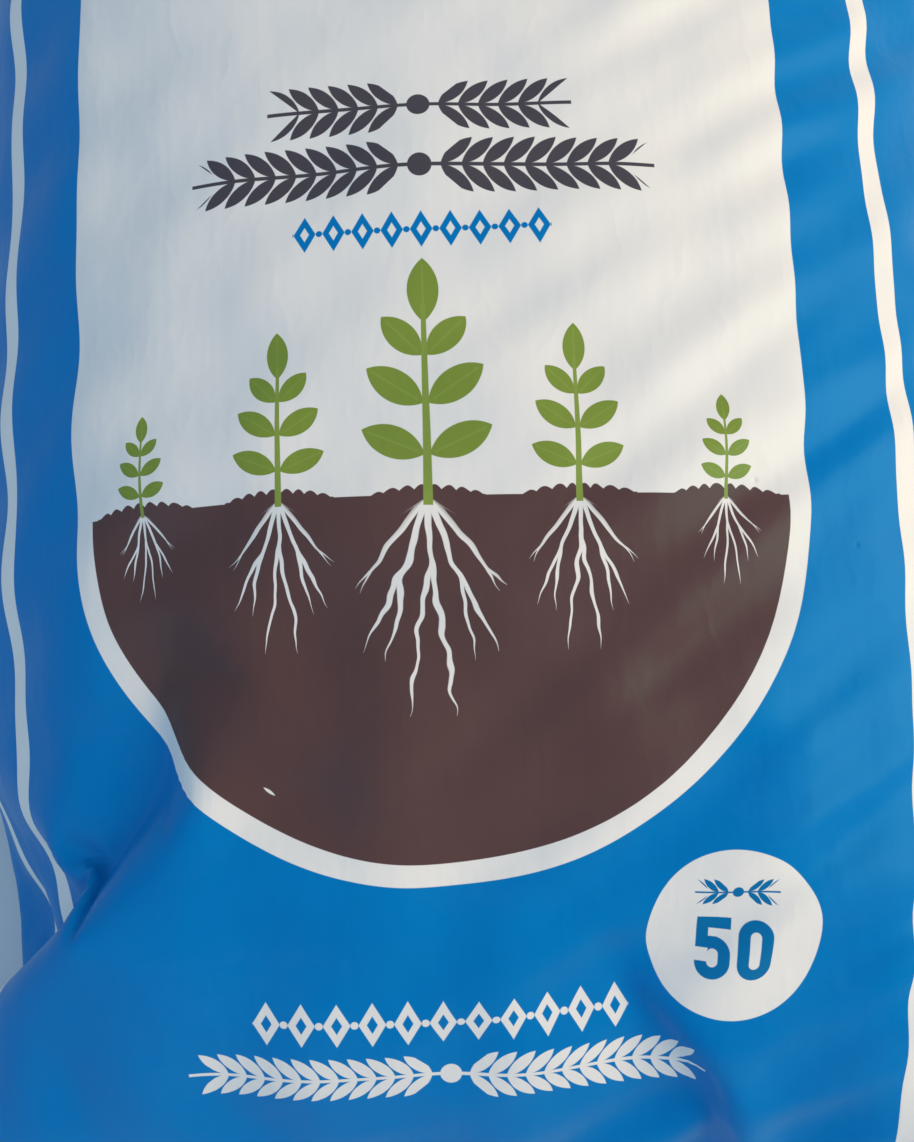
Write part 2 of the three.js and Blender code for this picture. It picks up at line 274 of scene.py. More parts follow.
@dataclass
class FilmTube:
    """The tube of film as a grid of points, which relaxes round its fill.

    Columns run round the tube from its left edge over the front and back over the back. Rows run
    from the cut edge at the foot to the one at the head. A fold or a ripple is left out on a grid
    that has too few cells to its half width or its shortest wave.
    """

    plan: FilmPlan
    fill: Fill
    cell: float
    widths: np.ndarray
    lengths: np.ndarray
    fin_rows: int = 3
    bend: float = 0.08
    shear: float = 0.5
    cells_to_fold: float = 0.5
    cells_to_ripple: float = 4.0
    press: float = 0.0
    points: np.ndarray | None = None
    volume: float = 0.0

    @classmethod
    def laid_flat(cls, plan: FilmPlan, fill: Fill, cell: float) -> "FilmTube":
        """Make the empty tube on the floor, its two faces a little apart.

        Args:
            plan: The film. The grid's lines keep to the edges of its print.
            fill: The mix.
            cell: Size of a grid cell.

        Returns:
            The flat tube.
        """
        cut, layout = plan.cut, plan.layout
        edge, strips = layout.stripe / 2, [layout.stripe, layout.blue_margin, layout.border]
        left = [edge, layout.left_margin - edge, *strips]
        right = [*reversed(strips), layout.right_margin - edge, edge]
        across = [*left, layout.panel_width(cut) - 2 * layout.border, *right]
        fin = cut.skirt + cut.seal
        head = layout.field_head(cut)
        panel_head = cut.length - layout.head_margin
        body = [head - fin, panel_head - head, layout.head_margin - fin]
        widths = np.array([width for stretch in across for width in cells(stretch, cell)])
        inner = [length for stretch in body for length in cells(stretch, cell)]
        lengths = np.array([cut.skirt, cut.seal, *inner, cut.seal, cut.skirt])
        return cls(plan, fill, cell, widths, lengths, press=fill.first_press)

    def __post_init__(self) -> None:
        """Work out the grid, the pushes of the folds and the ties."""
        self.side = len(self.widths)
        self.columns = 2 * self.side
        self.rows = len(self.lengths) + 1
        self.from_left = np.concatenate([[0.0], np.cumsum(self.widths)])
        self.from_foot = np.concatenate([[0.0], np.cumsum(self.lengths)])
        column = np.arange(self.columns)
        across = self.from_left[np.where(column <= self.side, column, self.columns - column)]
        across, along = np.meshgrid(across, self.from_foot)
        front = np.broadcast_to(column <= self.side, across.shape)
        if self.points is None:
            cut, lift = self.plan.cut, self.fill.start_lift
            lifted = lift * np.sin(np.pi * across / cut.width) * np.sin(np.pi * along / cut.length)
            height = lift + np.where(front, lifted, -lifted)
            self.points = np.stack([across - cut.width / 2, along, height])
        self.previous = self.points.copy()
        self.fold_push = self._fold_push(across, along, np.where(front, 1.0, -1.0))
        self.runs = self._ties()

    def _fold_push(self, from_left: np.ndarray, from_foot: np.ndarray, face: np.ndarray) -> np.ndarray:
        """Work out how hard the folds and waves push the film out at each point.

        Args:
            from_left: Distance of each point from the left edge.
            from_foot: Distance of each point from the foot.
            face: 1 on the front film and -1 on the back film.

        Returns:
            The pushes, in shares of a cell.
        """
        cut, waves = self.plan.cut, self.plan.waves
        from_right = cut.width - from_left
        total = np.zeros(from_left.shape)
        for fold in self.plan.folds:
            half_width = fold.half_width * cut.width
            if half_width < self.cells_to_fold * self.cell:
                continue
            inset = face * (from_left if fold.edge is Edge.LEFT else from_right)
            strength = np.zeros(from_left.shape)
            for start, end in zip(fold.path, fold.path[1:]):
                stops = [(across * cut.width, along * cut.length) for across, along, _ in (start, end)]
                gap, share = near_leg(inset, from_foot, *stops)
                strong = start[2] + (end[2] - start[2]) * share
                strength = np.maximum(strength, strong * np.exp(-((gap / half_width) ** 2)))
            total += fold.push * strength
        for ripples in self.plan.ripples:
            if ripples.shortest > self.cells_to_ripple * self.cell:
                total += ripples.field(from_left, from_foot, face * from_right)
        inset = (face * from_right - waves.inset) / waves.reach
        along = np.clip((from_foot - waves.foot) / (waves.head - waves.foot), 0, 1)
        phase = 2 * np.pi * (from_foot + waves.slant * from_right) / waves.spacing
        return total + waves.push * np.exp(-(inset**2)) * np.sin(np.pi * along) * np.sin(phase)

    def _ties(self) -> list:
        """List the ties that hold the film to its lengths, in runs that share no point.

        Returns:
            Runs of ties. Each has the slices of its two ends, its lengths and its stiffness.
        """
        around = np.concatenate([self.widths, self.widths[::-1]])
        along = self.lengths
        columns, rows = self.columns, self.rows
        last = slice(columns - 1, columns)
        first = slice(0, 1)
        runs = []

        def tie(start: tuple, end: tuple, length: np.ndarray, stiffness: float) -> None:
            """Add a run of ties between two slices of the grid."""
            runs.append(((EVERY, *start), (EVERY, *end), length, stiffness))

        odd, even = slice(1, columns - 1, 2), slice(2, columns, 2)
        tie((EVERY, slice(0, columns, 2)), (EVERY, slice(1, columns, 2)), around[None, 0::2], 1.0)
        tie((EVERY, odd), (EVERY, even), around[None, odd], 1.0)
        tie((EVERY, last), (EVERY, first), around[None, columns - 1 :], 1.0)
        for start in (0, 1):
            low, high = slice(start, rows - 1, 2), slice(start + 1, rows, 2)
            tie((low, EVERY), (high, EVERY), along[start::2, None], 1.0)
        for turned in (False, True):
            for start in (0, 1):
                low, high = slice(start, rows - 1, 2), slice(start + 1, rows, 2)
                slant = np.sqrt(around[None, :] ** 2 + along[start::2, None] ** 2)
                here, there = (high, low) if turned else (low, high)
                tie((here, slice(0, columns - 1)), (there, slice(1, columns)), slant[:, :-1], self.shear)
                tie((here, last), (there, first), slant[:, -1:], self.shear)
        two = around + np.roll(around, -1)
        for start in range(4):
            near = np.arange(start, columns, 4)
            if start < 2:
                ends = (EVERY, slice(start, columns, 4)), (EVERY, slice(start + 2, columns, 4))
                tie(*ends, two[None, near], self.bend)
                continue
            ends = (EVERY, slice(start, columns - 4, 4)), (EVERY, slice(start + 2, columns, 4))
            tie(*ends, two[None, near[:-1]], self.bend)
            seam = slice(columns - 4 + start, columns - 3 + start), slice(start - 2, start - 1)
            tie((EVERY, seam[0]), (EVERY, seam[1]), two[None, near[-1:]], self.bend)
        for start in range(4):
            low = np.arange(start, rows - 2, 4)
            ends = (slice(start, low[-1] + 1, 4), EVERY), (slice(start + 2, low[-1] + 3, 4), EVERY)
            tie(*ends, (along[low] + along[low + 1])[:, None], self.bend)
        return runs

    def _measure(self) -> np.ndarray:
        """Find the way out of the film at each point, and note the volume inside.

        Returns:
            Unit vectors, which are 0 in the skirts and seals.
        """
        points = self.points
        first, last = self.fin_rows - 1, self.rows - self.fin_rows
        body = slice(first, last + 1)
        across = np.roll(points, -1, axis=2)[:, body] - np.roll(points, 1, axis=2)[:, body]
        along = points[:, first + 1 : last + 2] - points[:, first - 1 : last]
        area = np.cross(across, along, axis=0)
        self.volume = float((points[:, body] * area).sum()) / 12
        outward = np.zeros_like(points)
        outward[:, body] = area / (np.sqrt((area**2).sum(axis=0)) + 1e-12)
        return outward

    def _push(self) -> None:
        """Move every point by its momentum and by the push of the fill behind it."""
        points, fill, cut = self.points, self.fill, self.plan.cut
        outward = self._measure()
        missing = 1 - self.volume / (cut.width * cut.length * fill.depth)
        self.press = min(max(self.press + fill.press_gain * missing, 0), fill.hardest_press)
        top = max(MM, float(points[2].max()))
        depth = (top - points[2]) / top
        foot = 0.5 - points[1] / cut.length
        pressed = self.press * (1 + fill.head * depth + fill.lean_to_foot * foot)
        now = points.copy()
        points += fill.momentum * (now - self.previous) + self.cell * (pressed + self.fold_push) * outward
        self.previous = now
        points[2] -= fill.weight * self.cell

    def _hold_film(self) -> None:
        """Draw each tied pair of points towards the length of its tie."""
        for start, end, length, stiffness in self.runs:
            near, far = self.points[start], self.points[end]
            gap = far - near
            distance = np.sqrt(gap[0] * gap[0] + gap[1] * gap[1] + gap[2] * gap[2]) + 1e-12
            gap *= 0.5 * stiffness * (distance - length) / distance
            near += gap
            far -= gap

    def _hold_faces(self) -> None:
        """Press the two films together at the ends, keep them apart elsewhere, and hold them up."""
        points, fin, side = self.points, self.plan.cut.fin, self.side
        front = points[:, :, 1:side]
        back = points[:, :, self.columns - 1 : side : -1]
        for rows in (slice(0, self.fin_rows), slice(self.rows - self.fin_rows, self.rows)):
            middle = (front[:, rows] + back[:, rows]) / 2
            front[:, rows] = middle
            back[:, rows] = middle
            front[2, rows] += fin / 2
            back[2, rows] -= fin / 2
        overlap = np.maximum(fin - (front[2] - back[2]), 0) / 2
        front[2] += overlap
        back[2] -= overlap
        np.maximum(back[2], 0, out=back[2])
        np.maximum(front[2], fin, out=front[2])
        edges = points[2, :, ::side]
        np.maximum(edges, fin / 2, out=edges)

    def relax(self, steps: int, passes: int) -> None:
        """Let the film settle.

        Args:
            steps: Number of pushes of the fill.
            passes: Rounds of drawing in the ties after each push.
        """
        for _ in range(steps):
            self._push()
            for _ in range(passes):
                self._hold_film()
                self._hold_faces()

    def finer(self, fill: Fill) -> "FilmTube":
        """Cut every cell in two both ways, along smooth curves through the points.

        Args:
            fill: How the mix presses on the finer film.

        Returns:
            The same film on the finer grid.
        """
        points = self.points

        def between(before: np.ndarray, near: np.ndarray, far: np.ndarray, after: np.ndarray) -> np.ndarray:
            """Place the points half-way on smooth curves."""
            return (9 * (near + far) - before - after) / 16

        across = np.empty((3, self.rows, 2 * self.columns))
        across[:, :, 0::2] = points
        before, far, after = (np.roll(points, turn, axis=2) for turn in (1, -1, -2))
        across[:, :, 1::2] = between(before, points, far, after)
        fine = np.empty((3, 2 * self.rows - 1, 2 * self.columns))
        fine[:, 0::2] = across
        low = np.concatenate([2 * across[:, :1] - across[:, 1:2], across[:, :-2]], axis=1)
        high = np.concatenate([across[:, 2:], 2 * across[:, -1:] - across[:, -2:-1]], axis=1)
        fine[:, 1::2] = between(low, across[:, :-1], across[:, 1:], high)
        widths, lengths = (np.repeat(sizes / 2, 2) for sizes in (self.widths, self.lengths))
        rows = 2 * self.fin_rows - 1
        return FilmTube(
            self.plan, fill, self.cell / 2, widths, lengths, rows, press=self.press, points=fine
        )

    def settled(self) -> np.ndarray:
        """Bring the bag's middle line onto Y and its box over the origin, on the floor.

        Returns:
            The points, with the axes last.
        """
        run = self.points[:, -1, :: self.side].sum(axis=1) - self.points[:, 0, :: self.side].sum(axis=1)
        turn = math.atan2(run[0], run[1])
        x, y, z = self.points
        x, y = x * math.cos(turn) - y * math.sin(turn), x * math.sin(turn) + y * math.cos(turn)
        x -= (x.min() + x.max()) / 2
        y -= (y.min() + y.max()) / 2
        return np.stack([x, y, z - z.min()], axis=-1)


# Shader arithmetic


@dataclass(frozen=True)
class Wire:
    """One value in a node tree. Arithmetic on it adds the nodes that work it out."""

    tree: bpy.types.NodeTree
    socket: bpy.types.NodeSocket

    def math(self, operation: str, *others: "Wire | float", clamp: bool = False) -> "Wire":
        """Add a math node with this value as its first input.

        Args:
            operation: Name of the math node's operation.
            others: The node's other inputs.
            clamp: Whether the result is kept from 0 to 1.

        Returns:
            The result.
        """
        node = self.tree.nodes.new("ShaderNodeMath")
        node.operation = operation
        node.use_clamp = clamp
        for socket, value in zip(node.inputs, (self, *others)):
            connect(value, socket)
        return Wire(self.tree, node.outputs[0])

    def __add__(self, other: "Wire | float") -> "Wire":
        """Sum."""
        return self.math("ADD", other)

    def __sub__(self, other: "Wire | float") -> "Wire":
        """Difference."""
        return self.math("SUBTRACT", other)

    def __rsub__(self, other: float) -> "Wire":
        """Number less this value."""
        return self.math("MULTIPLY_ADD", -1.0, other)

    def __mul__(self, other: "Wire | float") -> "Wire":
        """Product."""
        return self.math("MULTIPLY", other)

    def __truediv__(self, other: "Wire | float") -> "Wire":
        """Quotient."""
        return self.math("DIVIDE", other)

    def __abs__(self) -> "Wire":
        """Size without sign."""
        return self.math("ABSOLUTE")

    __radd__ = __add__
    __rmul__ = __mul__

    def least(self, *others: "Wire | float") -> "Wire":
        """Smallest of this value and others."""
        return reduce(lambda low, other: low.math("MINIMUM", other), others, self)

    def most(self, *others: "Wire | float") -> "Wire":
        """Largest of this value and others."""
        return reduce(lambda high, other: high.math("MAXIMUM", other), others, self)

    def nearest_step(self, step: float) -> "Wire":
        """Nearest whole number of steps."""
        return (self / step).math("ROUND")

    def repeated(self, step: float) -> "Wire":
        """Offset from the nearest of marks that lie a step apart."""
        return (self + step / 2).math("FLOORED_MODULO", step) - step / 2

    def span(self, other: "Wire | float") -> "Wire":
        """Work out the length of the vector that has two values as its sides.

        Args:
            other: The side at right angles to this one.

        Returns:
            The length.
        """
        vector = self.tree.nodes.new("ShaderNodeCombineXYZ")
        connect(self, vector.inputs[0])
        connect(other, vector.inputs[1])
        length = self.tree.nodes.new("ShaderNodeVectorMath")
        length.operation = "LENGTH"
        self.tree.links.new(vector.outputs[0], length.inputs[0])
        return Wire(self.tree, length.outputs["Value"])

    def inked(self, soft: float = 0.3) -> "Wire":
        """Mask that is 1 where this distance is below 0, over a soft edge."""
        return self.math("MULTIPLY_ADD", -1 / soft, 0.5, clamp=True)

    def mixing(self, below: "Wire | Colour", above: "Wire | Colour") -> "Wire":
        """Mix two colours, with this value as the share of the second.

        Args:
            below: The first colour.
            above: The second colour, which lies over the first.

        Returns:
            The mixed colour.
        """
        node = self.tree.nodes.new("ShaderNodeMix")
        node.data_type = "RGBA"
        colours = [socket for socket in node.inputs if socket.type == "RGBA"]
        for value, socket in zip((self, below, above), (node.inputs["Factor"], *colours)):
            connect(value, socket)
        return Wire(self.tree, next(socket for socket in node.outputs if socket.type == "RGBA"))


def connect(value: "Wire | float | Colour", socket: bpy.types.NodeSocket) -> None:
    """Feed a socket from a wire or set it to a value.

    Args:
        value: What the socket gets.
        socket: The input socket.
    """
    if isinstance(value, Wire):
        value.tree.links.new(value.socket, socket)
    else:
        socket.default_value = value


@dataclass(frozen=True)
class LeafShape:
    """A pointed leaf between two arcs, in millimetres."""

    base: tuple[float, float]
    angle: float
    length: float
    half_width: float


@dataclass(frozen=True)
class Band:
    """Place and size of a band of ornament, in millimetres."""

    middle: tuple[float, float]
    half_length: float
    half_height: float


@dataclass(frozen=True)
class Laurel:
    """Parts of a laurel band as shares of half its height, with its leaves' slant in degrees."""

    slant: float = 42.0
    step: float = 0.72
    first_leaf: float = 0.432
    half_leaf: float = 0.24
    bare_end: float = 0.3
    knot: float = 0.42
    half_stem: float = 0.07


@dataclass(frozen=True)
class Lozenges:
    """Parts of a row of lozenges as shares of half its height, with the slopes of their sides."""

    step: float = 1.5
    slope_across: float = 0.86
    slope_along: float = 0.5
    outline: float = 0.5
    hollow: float = 0.2
    bead: float = 0.17


@dataclass(frozen=True)
class Sprig:
    """A leafy sprig with a fan of roots, and the heap that it stands on, in millimetres.

    Each sprig to either side of the middle one is smaller by the shrink. The roots follow spokes, a
    gap of radians apart. They fork once, further out on the outer spokes, and taper to their tips.
    """

    spacing: float = 60.0
    each_side: float = 2.0
    shrink: float = 0.29
    height: float = 80.0
    stem_foot: float = 4.0
    half_stem: float = 1.9
    stem_taper: float = 0.012
    half_rib: float = 0.45
    rib_inset: float = 1.6
    spoke_gap: float = 0.33
    spokes_reach: float = 2.4
    root_depth: float = 2.0
    root_length: float = 88.0
    outer_shorter: float = 20.0
    fork: float = 26.0
    outer_fork: float = 6.0
    fork_spread: float = 0.15
    half_root: float = 1.35
    root_taper: float = 0.009
    tip_taper: float = 0.05
    sway: float = 0.1
    most_sway: float = 3.2
    heap_share: float = 0.38
    heap_height: float = 2.6
    scallop: float = 5.4
    scallop_depth: float = 2.0
    scallop_sway: float = 1.2
    leaves: tuple[LeafShape, ...] = (
        LeafShape((1.0, 17.0), 24.0, 27.5, 6.6),
        LeafShape((1.0, 38.0), 34.0, 27.0, 6.6),
        LeafShape((1.0, 58.0), 46.0, 23.0, 5.8),
        LeafShape((0.0, 72.0), 90.0, 28.0, 6.4),
    )


@dataclass(frozen=True)
class PrintPlate:
    """Draws in millimetres across and along from a spot on the film, with noise from -1 to 1."""

    across: Wire
    along: Wire
    noise: Wire

    def leaf(self, x: Wire, y: Wire, shape: LeafShape) -> tuple[Wire, Wire]:
        """Measure how far a point lies outside a leaf.

        Args:
            x: Distance across.
            y: Distance up.
            shape: The leaf.

        Returns:
            The distance outside its outline, and the distance from its midrib.
        """
        turn = math.radians(shape.angle)
        cos, sin = math.cos(turn), math.sin(turn)
        half = shape.length / 2
        radius = (shape.half_width**2 + half**2) / (2 * shape.half_width)
        base_along = shape.base[0] * cos + shape.base[1] * sin
        base_off = shape.base[1] * cos - shape.base[0] * sin
        along = (x * cos).math("ADD", y * sin) - (base_along + half)
        off = abs((y * cos).math("SUBTRACT", x * sin) - base_off)
        return along.span(off + (radius - shape.half_width)) - radius, off

    def tub(self, radius: float, head: float) -> Wire:
        """Measure how far a point lies outside a shape with straight sides and a round foot."""
        return self.across.span((head - self.along).most(0.0)) - radius

    def laurel(self, band: Band, parts: Laurel = Laurel()) -> Wire:
        """Measure how far a point lies outside a band of paired leaves on a thin stem.

        Args:
            band: Place and size of the band.
            parts: Proportions of its leaves and stem.

        Returns:
            The distance outside it.
        """
        angle, size = math.radians(parts.slant), band.half_height
        cos, sin = math.cos(angle), math.sin(angle)
        step = size * parts.step
        length = size / sin
        half_width = size * parts.half_leaf
        half = length / 2
        radius = (half_width**2 + half**2) / (2 * half_width)
        run = abs(self.across - band.middle[0])
        rise = abs(self.along - band.middle[1])
        slid = run - rise * (cos / sin)
        offset = slid.repeated(step)
        along = offset * cos + rise * (1 / sin) - half
        leaves = along.span(abs(offset * sin) + (radius - half_width)) - radius
        ends = run - (band.half_length - size * parts.bare_end)
        knot = run.span(rise) - size * parts.knot
        first = size * parts.first_leaf - slid
        stem = rise - size * parts.half_stem
        return leaves.most(slid - (band.half_length - length), first).least(stem.most(ends), knot)

    def lozenges(self, band: Band, parts: Lozenges = Lozenges()) -> Wire:
        """Measure how far a point lies outside a row of lozenges with beads between them.

        Args:
            band: Place and size of the row.
            parts: Proportions of its lozenges and beads.

        Returns:
            The distance outside it.
        """
        size = band.half_height
        step = size * parts.step
        run = self.across - band.middle[0]
        rise = abs(self.along - band.middle[1])
        offset = abs(run.repeated(step))
        slope = offset * parts.slope_across + rise * parts.slope_along
        bead = (offset - step / 2).span(rise) - size * parts.bead
        lozenge = (slope - size * parts.outline).most(size * parts.hollow - slope)
        return lozenge.least(bead).most(abs(run) - band.half_length)

    def digits(self, drop: float) -> Wire:
        """Measure how far a point lies outside the plain block digits 5 and 0.

        The 0 is a ring. The 5 is an open bowl, a bar, a post and the lip between them.

        Args:
            drop: How far their middle lies below the plate's spot.

        Returns:
            The distance outside them.
        """
        apart, radius, stroke = 8.4, 4.6, 2.4
        y = self.along + drop
        five = self.across + apart
        zero = self.across - apart
        ring = abs(zero.span((abs(y) - 5.4).most(0.0)) - radius) - stroke
        bowl = abs(five.span((abs(y + 4.0) - 1.4).most(0.0)) - radius) - stroke
        mouth = (five + 2.0).most(abs(y + 2.6) - 3.0)
        bar = abs(five).most(abs(y - 10.0) + 4.3) - 6.7
        post = (abs(five + 4.6) - 2.4).most(abs(y - 6.0) - 6.4)
        lip = (abs(five + 1.6) - 3.0).most(abs(y - 2.0) - 2.4)
        return ring.least(bowl.most(mouth * -1.0), bar, post, lip)

    def field_top(self, head: float, sprig: Sprig) -> Wire:
        """Measure how far a point lies above the brown field's upper edge, with its heaps.

        Args:
            head: Height of the edge between the heaps.
            sprig: The sprig that each heap carries.

        Returns:
            The distance above the edge.
        """
        offset = self.across.repeated(sprig.spacing) / (sprig.heap_share * sprig.spacing)
        heap = (1.0 - offset * offset).most(0.0)
        waved = self.across * (math.pi / sprig.scallop) + self.noise * sprig.scallop_sway
        scallops = abs(waved.math("SINE")) * heap.math("SQRT")
        return self.along - head - heap * sprig.heap_height - scallops * sprig.scallop_depth

    def sprigs(self, head: float, sprig: Sprig) -> tuple[Wire, Wire, Wire]:
        """Draw a row of sprigs, the tallest in the middle.

        Args:
            head: Height that they grow from.
            sprig: Shape of the middle sprig.

        Returns:
            Distances outside the stems and leaf ribs, the leaves and the roots.
        """
        step = self.across.nearest_step(sprig.spacing).most(-sprig.each_side).least(sprig.each_side)
        scale = 1.0 - abs(step) * sprig.shrink
        signed = (self.across - step * sprig.spacing) / scale
        x = abs(signed)
        y = (self.along - head) / scale
        stem = (x + y * sprig.stem_taper - sprig.half_stem).most(y - sprig.height, -sprig.stem_foot - y)
        outlines, ribs = zip(*(self.leaf(x, y, shape) for shape in sprig.leaves))
        leaf = outlines[0].least(*outlines[1:])
        rib = (ribs[0].least(*ribs[1:]) - sprig.half_rib).most(leaf + sprig.rib_inset)
        wander = signed + self.noise * (y * -sprig.sway).most(0.0).least(sprig.most_sway)
        depth = y * -1.0
        reach = wander.span(depth)
        angle = wander.math("ARCTAN2", depth)
        spoke = angle.nearest_step(sprig.spoke_gap)
        off = abs(angle - spoke * sprig.spoke_gap) * reach
        outer = abs(spoke)
        past_fork = (reach - sprig.fork - outer * sprig.outer_fork).most(0.0)
        forked = abs(off - past_fork * sprig.fork_spread)
        left_over = sprig.root_length - outer * sprig.outer_shorter - reach
        half_root = (sprig.half_root - reach * sprig.root_taper).least(left_over * sprig.tip_taper)
        fan = abs(angle) - sprig.spokes_reach * sprig.spoke_gap
        root = (forked - half_root).most(left_over * -1.0, fan, sprig.root_depth - depth)
        return stem.least(rib), leaf, root


@dataclass
class NodeGroup:
    """A shader node group under construction, with named inputs and outputs."""

    name: str

    def __post_init__(self) -> None:
        """Start the empty group."""
        self.tree = bpy.data.node_groups.new(self.name, "ShaderNodeTree")
        self.inlet = self.tree.nodes.new("NodeGroupInput")
        self.outlet = self.tree.nodes.new("NodeGroupOutput")

    def takes(self, name: str, kind: str = "NodeSocketVector") -> Wire:
        """Add an input and return its wire."""
        self.tree.interface.new_socket(name, in_out="INPUT", socket_type=kind)
        return Wire(self.tree, self.inlet.outputs[name])

    def gives(self, name: str, value: Wire, kind: str = "NodeSocketFloat") -> None:
        """Add an output and feed it."""
        self.tree.interface.new_socket(name, in_out="OUTPUT", socket_type=kind)
        self.tree.links.new(value.socket, self.outlet.inputs[name])


@dataclass(frozen=True)
class Grain:
    """Soft noise over the film: its lumps in a metre, its finer octaves and their strength."""

    across: float
    along: float
    octaves: float
    strength: float = 0.5

    def over(self, film: Wire) -> Wire:
        """Add the noise.

        Args:
            film: The film's coordinates, in metres.

        Returns:
            Noise about 0, from about -1 to 1.
        """
        tree = film.tree
        stretch = tree.nodes.new("ShaderNodeVectorMath")
        stretch.operation = "MULTIPLY"
        noise = tree.nodes.new("ShaderNodeTexNoise")
        noise.noise_dimensions = "2D"
        connect(film, stretch.inputs[0])
        connect((self.across, self.along, 1.0), stretch.inputs[1])
        connect(Wire(tree, stretch.outputs[0]), noise.inputs["Vector"])
        for name, value in (("Scale", 1.0), ("Detail", self.octaves), ("Roughness", self.strength)):
            connect(value, noise.inputs[name])
        return Wire(tree, noise.outputs[0]).math("MULTIPLY_ADD", 2.0, -1.0)


def film_axes(film: Wire) -> tuple[Wire, Wire]:
    """Split the film's coordinates.

    Args:
        film: The coordinates, in metres.

    Returns:
        The distances round the tube and up from its foot, in millimetres.
    """
    split = film.tree.nodes.new("ShaderNodeSeparateXYZ")
    connect(film, split.inputs[0])
    return Wire(film.tree, split.outputs[0]) / MM, Wire(film.tree, split.outputs[1]) / MM


@dataclass(frozen=True)
class Inks:
    """Colours of the print."""

    blue: Colour = srgb(0, 116, 184)
    white: Colour = srgb(226, 224, 221)
    brown: Colour = srgb(86, 61, 60)
    leaf: Colour = srgb(121, 141, 56)
    stem: Colour = srgb(128, 148, 66)
    title: Colour = srgb(72, 66, 74)
    number: Colour = srgb(12, 108, 164)
    dust: Colour = srgb(196, 190, 180)


